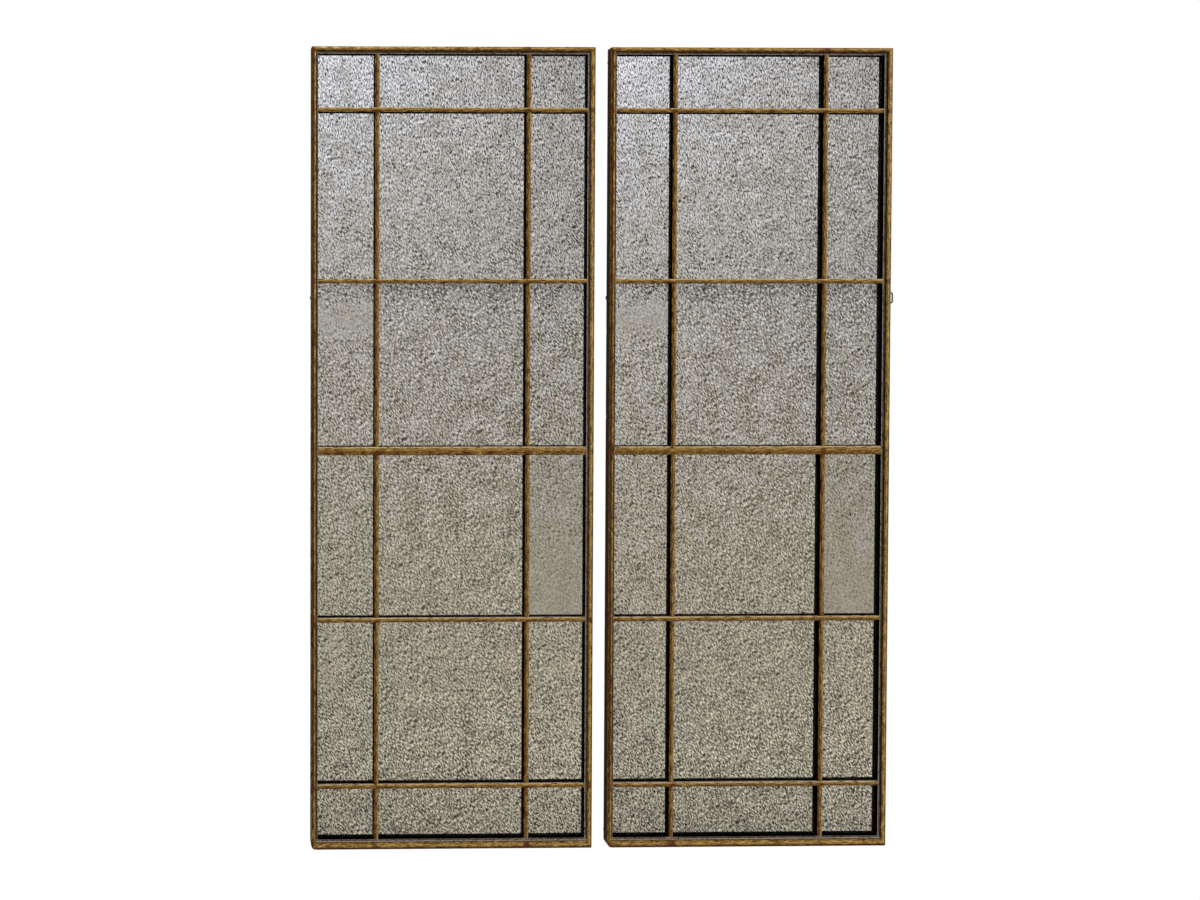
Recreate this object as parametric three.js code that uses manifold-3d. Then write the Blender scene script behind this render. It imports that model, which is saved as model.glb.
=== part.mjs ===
// A pair of tall wall mirrors in stepped, gilded wooden frames. Each panel is divided into three
// columns and six rows of antiqued panes by slim bars, like a glazed shutter.
// Millimetres, +Z up, fronts facing -Y. The origin lies on the wall, midway between the panels and
// level with the screws that the hangers turn on.
import * as THREE from "three";
import { mergeVertices } from "three/addons/utils/BufferGeometryUtils.js";
import Module from "manifold-3d";

const wasm = await Module();
wasm.setup();

// Panels
const panelWidth = 635;
const panelHeight = 1803;
const panelSpacing = 35; // air between the two panels
const frameDepth = 44; // from the crown of the bead to the back of the frame

// Frame moulding, from its outer side inwards
const beadWidth = 10; // raised bead of the stiles and the top rail
const footBeadWidth = 15.5; // the same bead on the bottom rail
const crownRise = 2.5; // how far the middle of the bead stands above its edges
const beadStep = 12; // from the crown back to the ledge
const ledgeWidth = 5;
const coveRadius = 1; // at the foot of the step
const edgeEase = 0.6; // rounding of the ledge's inner edge
const backEase = 1; // chamfer of the outer back edge
const rebateWidth = 5; // step at the rear that the panes and the backing board lie in
const cornerRound = 2.5; // outer corners, seen from the front
const wornCornerRound = 9; // lower left corner, which is rubbed rounder

// Bars
const barWidth = 10.3;
const middleBarWidth = 19; // the crossbar at mid height
const barDepth = 20;
const barEase = 1; // rounding of the front edges
const tenonLength = 4;
const tenonThickness = 6;
const tenonSetback = 7; // from the front of the bar to its tenon
const tenonShoulder = 1.5; // above and below the tenon

// Panes and backing
const sidePaneWidth = 127.3; // clear width of the outer columns
const topPaneHeight = 119.5; // clear heights of the first and the second row and of the last one
const secondPaneHeight = 372.5;
const footPaneHeight = 114.5;
const equalRows = 3; // between them
const glassThickness = 4;
const backingThickness = 5;
const rebateClearance = 1; // around the panes and the board
const paneJoint = 1; // between the panes of neighbouring rows

// Hangers
const hangerDrop = 560; // from the top of the panel to the hanger screws
const plateWidth = 13;
const sheetThickness = 1; // the plate is this sheet folded double
const eyeReach = 12.5; // from the screw to the axis of the eye
const ringWire = 3.5;
const ringReach = 11.75; // from the eye to the outer bar of the ring, between wire centres
const ringWidth = 26; // outside
const ringBend = 4; // at the wire's centre
const ringButt = 0.6; // between the two ends of the wire, inside the eye
const eyeClearance = 0.25;
const screwDiameter = 3.5;
const screwLength = 18; // below the head
const screwTip = 4;
const screwHeadDiameter = 7;
const screwHeadHeight = 2;
const screwHeadEdge = 0.7; // straight side of the head, below its dome

// Wall bumpers
const bumperDiameter = 9;
const bumperHeight = 7; // keeps the hangers off the wall
const bumperDome = 1.5;
const bumperInset = 30; // from the ends of the stile

// Clearances
const jointGap = 0.2; // around each mitre, halving, housing and tenon
const seatGap = 0.3; // between flat pieces that lie on each other
const overcut = 3; // how far a cutter runs past the face it cuts
const arcSteps = 3; // half the number of facets on a small rounding
const crownSteps = 5; // half the number of facets across the bead
const roundFacets = 24; // around screws, eyes and bumpers
const wireFacets = 10; // around the wire of a ring
const wireRuns = 44; // along that wire
const weldTolerance = 1e-4; // vertices closer than this are one

// Places that follow from the sizes
const sight = beadWidth + ledgeWidth; // inner edge of the stiles and the top rail
const footSight = footBeadWidth + ledgeWidth; // inner edge of the bottom rail
const openingTop = panelHeight - sight;
const paneFace = beadStep + barDepth; // where the panes bear on the frame and the bars
const glassFront = paneFace + seatGap;
const backingFront = glassFront + glassThickness + seatGap;
const glassOverlap = rebateWidth - rebateClearance;
const lapDepth = barDepth / 2; // each bar gives up half its depth at a crossing
const backStrip = sight - rebateWidth; // width of the stile's back
const eyeBore = ringWire / 2 + eyeClearance;
const eyeRadius = eyeBore + sheetThickness;
const mullionCentres = [
  sight + sidePaneWidth + barWidth / 2,
  panelWidth - sight - sidePaneWidth - barWidth / 2,
];
const crossbars = placeCrossbars();

// The crossbars from the top down, each with its width and the height of its middle.
function placeCrossbars() {
  const widths = [barWidth, barWidth, middleBarWidth, barWidth, barWidth];
  const barsTogether = widths.reduce((sum, width) => sum + width, 0);
  const panesTogether = openingTop - footSight - barsTogether;
  const equalPane = (panesTogether - topPaneHeight - secondPaneHeight - footPaneHeight) / equalRows;
  const panesAbove = [topPaneHeight, secondPaneHeight, equalPane, equalPane, equalPane];
  let top = openingTop;
  return widths.map((width, index) => {
    top -= panesAbove[index] + width;
    return { width, centre: top + width / 2 };
  });
}

// Materials
const gilt = () =>
  new THREE.MeshStandardMaterial({ color: 0x8a6d3b, roughness: 0.5, metalness: 0.55 });
const antiquedMirror = () =>
  new THREE.MeshStandardMaterial({ color: 0x9c958c, roughness: 0.18, metalness: 1 });
const board = () =>
  new THREE.MeshStandardMaterial({ color: 0x2a221c, roughness: 0.85, metalness: 0 });
const blackSteel = () =>
  new THREE.MeshStandardMaterial({ color: 0x17171a, roughness: 0.45, metalness: 0.7 });
const zincSteel = () =>
  new THREE.MeshStandardMaterial({ color: 0x8d8f92, roughness: 0.35, metalness: 0.9 });
const rubber = () =>
  new THREE.MeshStandardMaterial({ color: 0x1b1b1b, roughness: 0.8, metalness: 0 });

// A closed three.js geometry as a solid that can be cut and joined.
function toSolid(geometry) {
  const bare = geometry.clone();
  bare.deleteAttribute("normal");
  bare.deleteAttribute("uv");
  const merged = mergeVertices(bare, weldTolerance);
  return new wasm.Manifold(
    new wasm.Mesh({
      numProp: 3,
      vertProperties: new Float32Array(merged.attributes.position.array),
      triVerts: new Uint32Array(merged.index.array),
    }),
  );
}

// The other way round, with flat-shaded facets.
function toGeometry(solid) {
  const mesh = solid.getMesh();
  const indexed = new THREE.BufferGeometry();
  indexed.setAttribute("position", new THREE.BufferAttribute(mesh.vertProperties, 3));
  indexed.setIndex(new THREE.BufferAttribute(mesh.triVerts, 1));
  const flat = indexed.toNonIndexed();
  flat.computeVertexNormals();
  return flat;
}

function cut(solid, cutters) {
  return cutters.reduce((left, cutter) => left.subtract(cutter), solid);
}

// A box given by its span on each axis.
function boxGeometry([x0, x1], [y0, y1], [z0, z1]) {
  const box = new THREE.BoxGeometry(x1 - x0, y1 - y0, z1 - z0);
  return box.translate((x0 + x1) / 2, (y0 + y1) / 2, (z0 + z1) / 2);
}

function block(spanX, spanY, spanZ) {
  return toSolid(boxGeometry(spanX, spanY, spanZ));
}

function around(centre, width) {
  return [centre - width / 2, centre + width / 2];
}

// A cylinder along Y between two depths.
function rod(radius, x, [y0, y1], z) {
  const cylinder = new THREE.CylinderGeometry(radius, radius, y1 - y0, roundFacets);
  return toSolid(cylinder.translate(x, (y0 + y1) / 2, z));
}

// A shape drawn in X and Y, carried up along Z.
function extrudeUp(shape, length, curveSegments) {
  return new THREE.ExtrudeGeometry(shape, {
    depth: length,
    bevelEnabled: false,
    curveSegments,
  });
}

// A shape drawn in X and Z, carried back along Y.
function extrudeBack(shape, depth, curveSegments) {
  const geometry = extrudeUp(shape, depth, curveSegments);
  return geometry.rotateX(Math.PI / 2).translate(0, depth, 0);
}

function polygon(points) {
  return new THREE.Shape(points.map(([x, y]) => new THREE.Vector2(x, y)));
}

// Section of the frame moulding. X runs inwards from the outer side and Y back from the crown:
// a bead with a round crown, a step with a small cove at its foot, the ledge, the inner wall
// beside the panes, and the rebate behind.
function mouldingSection(bead) {
  const inner = bead + ledgeWidth;
  const crownRadius = ((bead / 2) ** 2 + crownRise ** 2) / (2 * crownRise);
  const crownHalf = Math.asin(bead / 2 / crownRadius);
  const down = -Math.PI / 2;
  const shape = new THREE.Shape();
  shape.moveTo(0, frameDepth - backEase);
  shape.lineTo(0, crownRise);
  shape.absarc(bead / 2, crownRadius, crownRadius, down - crownHalf, down + crownHalf, false);
  shape.lineTo(bead, beadStep - coveRadius);
  shape.absarc(bead + coveRadius, beadStep - coveRadius, coveRadius, Math.PI, -down, true);
  shape.lineTo(inner - edgeEase, beadStep);
  shape.absarc(inner - edgeEase, beadStep + edgeEase, edgeEase, down, 0, false);
  shape.lineTo(inner, paneFace);
  shape.lineTo(inner - rebateWidth, paneFace);
  shape.lineTo(inner - rebateWidth, frameDepth);
  shape.lineTo(backEase, frameDepth);
  shape.closePath();
  return shape;
}

// Front view of one frame member between its two mitres. The mitre runs from the outer corner to
// the inner corner of the beads and on to the inner corner of the ledges, so that beads of
// different widths meet along it.
function mitreOutline(bead, startBead, endBead, length) {
  const inner = bead + ledgeWidth;
  const line = (otherBead) => [
    [-overcut, (-overcut * otherBead) / bead],
    [bead, otherBead],
    [inner + overcut, otherBead + ledgeWidth + overcut],
  ];
  const start = line(startBead).map(([x, reach]) => [x, reach + jointGap / 2]);
  const end = line(endBead).map(([x, reach]) => [x, length - reach - jointGap / 2]);
  return polygon([...start, ...end.reverse()]);
}

// Front view of the frame's outer side along one member, with its two rounded corners.
function sideOutline(width, length, startRound, endRound) {
  const half = Math.PI / 2;
  const shape = new THREE.Shape();
  shape.moveTo(width, 0);
  shape.lineTo(startRound, 0);
  shape.absarc(startRound, startRound, startRound, -half, -Math.PI, true);
  shape.lineTo(0, length - endRound);
  shape.absarc(endRound, length - endRound, endRound, Math.PI, half, true);
  shape.lineTo(width, length);
  shape.closePath();
  return shape;
}

// One side of the frame, standing along Z with its outer side at X = 0.
function frameMember({ bead, startBead, endBead, length, startRound, endRound, cutters }) {
  const moulding = toSolid(extrudeUp(mouldingSection(bead), length, crownSteps));
  const mitres = mitreOutline(bead, startBead, endBead, length);
  const side = sideOutline(bead + ledgeWidth + overcut, length, startRound, endRound);
  const trimmed = moulding
    .intersect(toSolid(extrudeBack(mitres, frameDepth, arcSteps)))
    .intersect(toSolid(extrudeBack(side, frameDepth, arcSteps)));
  return toGeometry(cut(trimmed, cutters));
}

// Mortise in a stile for the tenon of one crossbar.
function mortise({ width, centre }) {
  const front = beadStep + tenonSetback;
  return block(
    [sight - tenonLength - jointGap, sight + overcut],
    [front - jointGap, front + tenonThickness + jointGap],
    around(centre, width - 2 * tenonShoulder + 2 * jointGap),
  );
}

// Housing across the ledge of a rail for the end of one mullion.
function housing(bead, centre) {
  return block(
    [bead, bead + ledgeWidth + overcut],
    [beadStep - overcut, beadStep + lapDepth + jointGap / 2],
    around(centre, barWidth + 2 * jointGap),
  );
}

function stileGeometry(footRound) {
  const screwHole = rod(
    screwDiameter / 2 + jointGap,
    backStrip / 2,
    [frameDepth - screwLength, frameDepth + overcut],
    panelHeight - hangerDrop,
  );
  return frameMember({
    bead: beadWidth,
    startBead: footBeadWidth,
    endBead: beadWidth,
    length: panelHeight,
    startRound: footRound,
    endRound: cornerRound,
    cutters: [...crossbars.map(mortise), screwHole],
  });
}

function railGeometry(bead, startRound, endRound) {
  return frameMember({
    bead,
    startBead: beadWidth,
    endBead: beadWidth,
    length: panelWidth,
    startRound,
    endRound,
    cutters: mullionCentres.map((centre) => housing(bead, centre)),
  });
}

// A bar along Z from zero, centred on X, with its front at Y = 0 and its front edges rounded.
function barBlank(width, length) {
  const half = width / 2;
  const shape = new THREE.Shape();
  shape.moveTo(-half, barDepth);
  shape.lineTo(-half, barEase);
  shape.absarc(barEase - half, barEase, barEase, Math.PI, 1.5 * Math.PI, false);
  shape.lineTo(half - barEase, 0);
  shape.absarc(half - barEase, barEase, barEase, -Math.PI / 2, 0, false);
  shape.lineTo(half, barDepth);
  shape.closePath();
  return extrudeUp(shape, length, arcSteps);
}

// An upright bar. It passes behind the crossbars, and its ends lie in the ledges of the rails.
function mullionGeometry() {
  const start = footBeadWidth + jointGap;
  const end = panelHeight - beadWidth - jointGap;
  const across = around(0, barWidth + 2 * overcut);
  const behind = [lapDepth - jointGap / 2, barDepth + overcut];
  const inFront = [-overcut, lapDepth + jointGap / 2];
  const blank = toSolid(barBlank(barWidth, end - start).translate(0, 0, start));
  const notches = crossbars.map(({ width, centre }) =>
    block(across, inFront, around(centre, width + 2 * jointGap)),
  );
  const tongues = [
    block(across, behind, [start - overcut, footSight + jointGap]),
    block(across, behind, [openingTop - jointGap, end + overcut]),
  ];
  return toGeometry(cut(blank, [...notches, ...tongues]));
}

// A level bar. It passes in front of the mullions and ends in tenons that enter the stiles.
function crossbarGeometry(width) {
  const shoulders = [sight + jointGap, panelWidth - sight - jointGap];
  const blank = barBlank(width, shoulders[1] - shoulders[0]);
  const body = toSolid(blank.rotateY(Math.PI / 2).translate(shoulders[0], 0, 0));
  const tenons = block(
    [sight - tenonLength, panelWidth - sight + tenonLength],
    [tenonSetback, tenonSetback + tenonThickness],
    around(0, width - 2 * tenonShoulder),
  );
  const notches = mullionCentres.map((centre) =>
    block(
      around(centre, barWidth + 2 * jointGap),
      [lapDepth - jointGap / 2, barDepth + overcut],
      around(0, width + 2 * overcut),
    ),
  );
  return toGeometry(cut(body.add(tenons), notches));
}

// The heights that divide the glass into rows, from the top down.
function rowLimits() {
  const top = openingTop + glassOverlap;
  const bottom = footSight - glassOverlap;
  const middles = crossbars.map(({ centre }) => centre);
  const uppers = [top, ...middles.map((centre) => centre - paneJoint / 2)];
  const lowers = [...middles.map((centre) => centre + paneJoint / 2), bottom];
  return uppers.map((upper, row) => [lowers[row], upper]);
}

// Hanger plate, screwed down at the origin with its underside at Y = 0: a strip folded double
// round the ring's wire, which leaves an eye, with a round tail about the screw.
function hangerPlateGeometry() {
  const thickness = 2 * sheetThickness;
  const tail = plateWidth / 2;
  const side = new THREE.Shape();
  const meet = Math.PI + Math.asin((eyeRadius - thickness) / eyeRadius);
  side.moveTo(-tail, 0);
  side.lineTo(eyeReach, 0);
  side.absarc(eyeReach, eyeRadius, eyeRadius, -Math.PI / 2, meet, false);
  side.lineTo(-tail, thickness);
  side.closePath();
  const bore = new THREE.Path();
  bore.absarc(eyeReach, eyeRadius, eyeBore, 0, 2 * Math.PI, true);
  side.holes.push(bore);
  const folded = extrudeUp(side, plateWidth, roundFacets / 2).translate(0, 0, -tail);

  const plan = new THREE.Shape();
  plan.moveTo(eyeReach + eyeRadius + overcut, -tail);
  plan.lineTo(eyeReach + eyeRadius + overcut, tail);
  plan.lineTo(0, tail);
  plan.absarc(0, 0, tail, Math.PI / 2, 1.5 * Math.PI, false);
  plan.closePath();
  const outline = extrudeBack(plan, 2 * eyeRadius, roundFacets / 4);

  const hole = rod(screwDiameter / 2 + seatGap, 0, [-overcut, thickness + overcut], 0);
  return toGeometry(cut(toSolid(folded).intersect(toSolid(outline)), [hole]));
}

// Hanger ring: one wire bent to a rectangle round the eye's axis at the origin, with its two ends
// facing each other inside the eye.
function hangerRingGeometry() {
  const side = (ringWidth - ringWire) / 2;
  const corner = (x, z, fromX, fromZ, toX, toZ) =>
    new THREE.QuadraticBezierCurve3(
      new THREE.Vector3(fromX, 0, fromZ),
      new THREE.Vector3(x, 0, z),
      new THREE.Vector3(toX, 0, toZ),
    );
  const straight = (fromX, fromZ, toX, toZ) =>
    new THREE.LineCurve3(new THREE.Vector3(fromX, 0, fromZ), new THREE.Vector3(toX, 0, toZ));
  const path = new THREE.CurvePath();
  path.add(straight(0, ringButt / 2, 0, side - ringBend));
  path.add(corner(0, side, 0, side - ringBend, ringBend, side));
  path.add(straight(ringBend, side, ringReach - ringBend, side));
  path.add(corner(ringReach, side, ringReach - ringBend, side, ringReach, side - ringBend));
  path.add(straight(ringReach, side - ringBend, ringReach, ringBend - side));
  path.add(corner(ringReach, -side, ringReach, ringBend - side, ringReach - ringBend, -side));
  path.add(straight(ringReach - ringBend, -side, ringBend, -side));
  path.add(corner(0, -side, ringBend, -side, 0, ringBend - side));
  path.add(straight(0, ringBend - side, 0, -ringButt / 2));
  const wire = new THREE.Shape().absarc(0, 0, ringWire / 2, 0, 2 * Math.PI, false);
  return new THREE.ExtrudeGeometry(wire, {
    steps: wireRuns,
    curveSegments: wireFacets / 2,
    bevelEnabled: false,
    extrudePath: path,
  });
}

// A round piece about the Y axis from its profile of radius and height.
function turned(profile) {
  const points = profile.map(([radius, y]) => new THREE.Vector2(radius, y));
  return new THREE.LatheGeometry(points, roundFacets);
}

// Profile points of a dome: a quarter of an ellipse that rises from its side to its top.
function quarterRound(radius, y, inwards, upwards) {
  return Array.from({ length: arcSteps + 1 }, (_, step) => {
    const angle = (step / arcSteps) * (Math.PI / 2);
    return [radius - inwards * (1 - Math.cos(angle)), y + upwards * Math.sin(angle)];
  });
}

// Hanger screw, with Y = 0 at the plate's underside.
function hangerScrewGeometry() {
  const shank = screwDiameter / 2;
  const head = screwHeadDiameter / 2;
  const under = 2 * sheetThickness + seatGap;
  const dome = screwHeadHeight - screwHeadEdge;
  return turned([
    [0, -screwLength],
    [shank, screwTip - screwLength],
    [shank, under],
    [head, under],
    ...quarterRound(head, under + screwHeadEdge, head, dome),
  ]);
}

// Wall bumper, with its base at Y = 0 and a flat round face towards the wall.
function bumperGeometry() {
  const radius = bumperDiameter / 2;
  return turned([
    [0, 0],
    [radius, 0],
    ...quarterRound(radius, bumperHeight - bumperDome, bumperDome, bumperDome),
    [0, bumperHeight],
  ]);
}

function mesh(name, geometry, material) {
  const made = new THREE.Mesh(geometry, material);
  made.name = name;
  return made;
}

// The four mouldings. The panel's own frame has X from its left side, Y back from the crown and
// Z up from its foot.
function buildFrame(panel) {
  const frame = new THREE.Group();
  const stileLeft = mesh(`${panel}_stile_left`, stileGeometry(wornCornerRound), gilt());
  const stileRight = mesh(`${panel}_stile_right`, stileGeometry(cornerRound), gilt());
  stileRight.position.x = panelWidth;
  stileRight.scale.x = -1;
  const railTop = mesh(
    `${panel}_rail_top`,
    railGeometry(beadWidth, cornerRound, cornerRound),
    gilt(),
  );
  railTop.rotation.y = Math.PI / 2;
  railTop.position.z = panelHeight;
  const railBottom = mesh(
    `${panel}_rail_bottom`,
    railGeometry(footBeadWidth, cornerRound, wornCornerRound),
    gilt(),
  );
  railBottom.rotation.y = -Math.PI / 2;
  railBottom.position.x = panelWidth;
  frame.add(stileLeft, stileRight, railTop, railBottom);
  return frame;
}

// Two mullions and five crossbars, halved into each other.
function buildBars(panel) {
  const bars = new THREE.Group();
  bars.position.y = beadStep;
  ["left", "right"].forEach((side, index) => {
    const mullion = mesh(`${panel}_mullion_${side}`, mullionGeometry(), gilt());
    mullion.position.x = mullionCentres[index];
    bars.add(mullion);
  });
  crossbars.forEach(({ width, centre }, index) => {
    const crossbar = mesh(`${panel}_crossbar_${index + 1}`, crossbarGeometry(width), gilt());
    crossbar.position.z = centre;
    bars.add(crossbar);
  });
  return bars;
}

// The three panes of a row lie edge to edge behind the mullions and are drawn as one strip.
function buildGlazing(panel) {
  const glazing = new THREE.Group();
  const acrossRebate = [sight - glassOverlap, panelWidth - sight + glassOverlap];
  const glassSpan = [glassFront, glassFront + glassThickness];
  rowLimits().forEach((limits, row) => {
    const strip = boxGeometry(acrossRebate, glassSpan, limits);
    glazing.add(mesh(`${panel}_glass_row_${row + 1}`, strip, antiquedMirror()));
  });
  const sheet = boxGeometry(
    acrossRebate,
    [backingFront, backingFront + backingThickness],
    [footSight - glassOverlap, openingTop + glassOverlap],
  );
  glazing.add(mesh(`${panel}_backing_board`, sheet, board()));
  return glazing;
}

// A plate, its ring and its screw on the back of one stile. The plate points to +X, or to -X when
// turned by half a circle about the screw.
function buildHanger(panel, side, turn) {
  const hanger = new THREE.Group();
  hanger.position.x = side === "left" ? backStrip / 2 : panelWidth - backStrip / 2;
  hanger.position.y = frameDepth + seatGap;
  hanger.position.z = panelHeight - hangerDrop;
  hanger.rotation.y = turn;
  const plate = mesh(`${panel}_hanger_plate_${side}`, hangerPlateGeometry(), blackSteel());
  const ring = mesh(`${panel}_hanger_ring_${side}`, hangerRingGeometry(), blackSteel());
  ring.position.set(eyeReach, eyeRadius, 0);
  const screw = mesh(`${panel}_hanger_screw_${side}`, hangerScrewGeometry(), zincSteel());
  hanger.add(plate, ring, screw);
  return hanger;
}

function buildBumpers(panel) {
  const bumpers = new THREE.Group();
  bumpers.position.y = frameDepth;
  const columns = { left: backStrip / 2, right: panelWidth - backStrip / 2 };
  const levels = { bottom: bumperInset, top: panelHeight - bumperInset };
  for (const [level, z] of Object.entries(levels)) {
    for (const [side, x] of Object.entries(columns)) {
      const bumper = mesh(`${panel}_bumper_${level}_${side}`, bumperGeometry(), rubber());
      bumper.position.set(x, 0, z);
      bumpers.add(bumper);
    }
  }
  return bumpers;
}

// One panel. The turns say which way its two hangers point.
function buildPanel(panel, turns) {
  const group = new THREE.Group();
  group.add(
    buildFrame(panel),
    buildBars(panel),
    buildGlazing(panel),
    buildHanger(panel, "left", turns.left),
    buildHanger(panel, "right", turns.right),
    buildBumpers(panel),
  );
  return group;
}

const inwardsFromLeft = 0;
const inwardsFromRight = Math.PI;
const outwardsAtRight = 0; // this ring shows past the edge of the right panel

const pair = new THREE.Group();
const leftPanel = buildPanel("left_panel", { left: inwardsFromLeft, right: inwardsFromRight });
const rightPanel = buildPanel("right_panel", { left: inwardsFromLeft, right: outwardsAtRight });
leftPanel.position.x = -panelSpacing / 2 - panelWidth;
rightPanel.position.x = panelSpacing / 2;
pair.add(leftPanel, rightPanel);
pair.position.y = -frameDepth - bumperHeight;
pair.position.z = hangerDrop - panelHeight;

export default pair;
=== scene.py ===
import bmesh
import bpy
import numpy as np
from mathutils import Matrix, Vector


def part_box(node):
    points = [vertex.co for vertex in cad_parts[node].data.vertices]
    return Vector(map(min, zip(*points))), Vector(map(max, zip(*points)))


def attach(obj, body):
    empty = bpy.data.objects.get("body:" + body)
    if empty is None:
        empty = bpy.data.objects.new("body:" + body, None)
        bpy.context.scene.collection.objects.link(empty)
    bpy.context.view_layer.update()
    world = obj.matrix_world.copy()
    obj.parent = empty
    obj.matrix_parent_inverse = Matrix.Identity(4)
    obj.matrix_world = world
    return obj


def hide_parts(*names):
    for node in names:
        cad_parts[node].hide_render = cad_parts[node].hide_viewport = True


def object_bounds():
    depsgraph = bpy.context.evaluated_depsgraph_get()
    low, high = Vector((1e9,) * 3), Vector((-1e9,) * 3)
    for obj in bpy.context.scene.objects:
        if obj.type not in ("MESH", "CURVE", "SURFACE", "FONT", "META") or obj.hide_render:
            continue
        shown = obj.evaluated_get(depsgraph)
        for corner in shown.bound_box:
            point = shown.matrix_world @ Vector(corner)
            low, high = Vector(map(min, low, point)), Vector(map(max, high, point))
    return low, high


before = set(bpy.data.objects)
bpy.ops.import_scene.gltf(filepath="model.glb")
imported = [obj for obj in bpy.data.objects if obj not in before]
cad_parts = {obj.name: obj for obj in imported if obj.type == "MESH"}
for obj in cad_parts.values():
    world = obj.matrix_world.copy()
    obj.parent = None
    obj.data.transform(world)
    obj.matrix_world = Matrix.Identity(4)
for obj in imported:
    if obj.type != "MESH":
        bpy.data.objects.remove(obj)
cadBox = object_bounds()
mm = 0.001
panels = ["left_panel", "right_panel"]
print("frame loaded:", len(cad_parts), "nodes")


# The camera stands to the left of the pair and above its middle. It is turned slightly towards the pair,
# and its shift brings the rest.
cameraView = {
    "place": (-0.880, -4.451, 0.030),
    "turn": (-1.5, -1.8),  # degrees: to the right, and down
    "lens": 59.18,
    "sensor": 36.0,
    "shift": (0.2823, -0.0862),
}


def addObject(name, data):
    made = bpy.data.objects.new(name, data)
    bpy.context.scene.collection.objects.link(made)
    return made


def makeCamera():
    data = bpy.data.cameras.new("camera")
    data.lens = cameraView["lens"]
    data.sensor_width = cameraView["sensor"]
    data.shift_x, data.shift_y = cameraView["shift"]
    camera = addObject("camera", data)
    camera.location = cameraView["place"]
    turn, tilt = np.radians(cameraView["turn"])
    camera.rotation_euler = (np.pi / 2 + tilt, 0, turn)
    bpy.context.scene.camera = camera
    bpy.context.scene.view_settings.view_transform = "Standard"


makeCamera()
print("camera placed")


# A plain white room with soft lamps.
studio = {
    "floorDrop": 0.45,  # from the feet of the panels to the floor
    "floorSize": 14.0,
    "floorTone": (0.86, 0.86, 0.85),
    "skyStrength": 0.70,  # light that the white room sends from all sides
    "lamps": [  # name, place, aims at, size, watts
        ("lampTop", (-1.2, -1.9, 3.3), (0, 0, 0), (3.2, 1.2), 52),
        ("lampRight", (3.6, -2.4, 1.2), (0, 0, -0.3), (1.6, 2.6), 34),
        ("lampBack", (1.0, 3.2, 2.4), (0, 0, -0.2), (3.0, 2.0), 60),
    ],
}


def addNode(tree, kind, settings=None, inputs=None):
    made = tree.nodes.new(kind)
    for key, value in (settings or {}).items():
        setattr(made, key, value)
    for key, value in (inputs or {}).items():
        if isinstance(value, bpy.types.NodeSocket):
            tree.links.new(value, made.inputs[key])
        else:
            made.inputs[key].default_value = value
    return made


def calc(tree, operation, first, second=0.0, third=0.0):
    inputs = {0: first, 1: second, 2: third}
    return addNode(tree, "ShaderNodeMath", {"operation": operation}, inputs).outputs[0]


def times(tree, first, second):
    return calc(tree, "MULTIPLY", first, second)


def timesPlus(tree, first, second, third):
    # first times second, plus third
    return calc(tree, "MULTIPLY_ADD", first, second, third)


def finishRoom(tree, lit, white, output):
    # white where the camera looks straight at it, or a mirror or glass shows it
    path = addNode(tree, "ShaderNodeLightPath")
    direct = calc(tree, "MAXIMUM", path.outputs["Is Camera Ray"], path.outputs["Is Glossy Ray"])
    seen = calc(tree, "MAXIMUM", direct, path.outputs["Is Transmission Ray"])
    mix = addNode(tree, "ShaderNodeMixShader", None, {0: seen, 1: lit.outputs[0], 2: white.outputs[0]})
    addNode(tree, output, None, {"Surface": mix.outputs[0]})


def newMaterial(name):
    material = bpy.data.materials.new(name)
    material.use_nodes = True
    tree = material.node_tree
    tree.nodes.clear()
    return material, tree


def makeWorld():
    world = bpy.data.worlds.new("studioWorld")
    world.use_nodes = True
    tree = world.node_tree
    tree.nodes.clear()
    light = addNode(tree, "ShaderNodeBackground", None,
                    {"Color": (1, 1, 1, 1), "Strength": studio["skyStrength"]})
    white = addNode(tree, "ShaderNodeBackground", None, {"Color": (1, 1, 1, 1), "Strength": 1.0})
    finishRoom(tree, light, white, "ShaderNodeOutputWorld")
    bpy.context.scene.world = world


def makeFloor():
    half = studio["floorSize"] / 2
    z = cadBox[0].z - studio["floorDrop"]
    mesh = bpy.data.meshes.new("studioFloor")
    corners = [(-half, -half, z), (half, -half, z), (half, half, z), (-half, half, z)]
    mesh.from_pydata(corners, [], [(0, 1, 2, 3)])
    floor = addObject("studioFloor", mesh)
    material, tree = newMaterial("studioFloorPaint")
    paint = addNode(tree, "ShaderNodeBsdfDiffuse", None, {"Color": (*studio["floorTone"], 1)})
    white = addNode(tree, "ShaderNodeEmission", None, {"Strength": 1.0})
    finishRoom(tree, paint, white, "ShaderNodeOutputMaterial")
    mesh.materials.append(material)


def makeLamps():
    for name, place, target, size, watts in studio["lamps"]:
        data = bpy.data.lights.new(name, "AREA")
        data.shape = "RECTANGLE"
        data.size, data.size_y = size
        data.energy = watts
        lamp = addObject(name, data)
        lamp.location = place
        away = lamp.location - type(lamp.location)(target)
        lamp.rotation_euler = away.to_track_quat("Z", "Y").to_euler()


makeWorld()
makeFloor()
makeLamps()
print("studio lit")


# Small tools for the materials.
def finishMaterial(tree, inputs, height, distance, strength):
    bump = {"Strength": strength, "Distance": distance, "Height": height}
    normal = addNode(tree, "ShaderNodeBump", None, bump).outputs[0]
    shader = addNode(tree, "ShaderNodeBsdfPrincipled", None, {**inputs, "Normal": normal})
    addNode(tree, "ShaderNodeOutputMaterial", None, {"Surface": shader.outputs[0]})


def readPoints(tree, name):
    return addNode(tree, "ShaderNodeAttribute", {"attribute_name": name}).outputs["Vector"]


def ownPlace(tree):
    return addNode(tree, "ShaderNodeTexCoord").outputs["Object"]


def split(tree, vector):
    return addNode(tree, "ShaderNodeSeparateXYZ", None, {0: vector}).outputs


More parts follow.
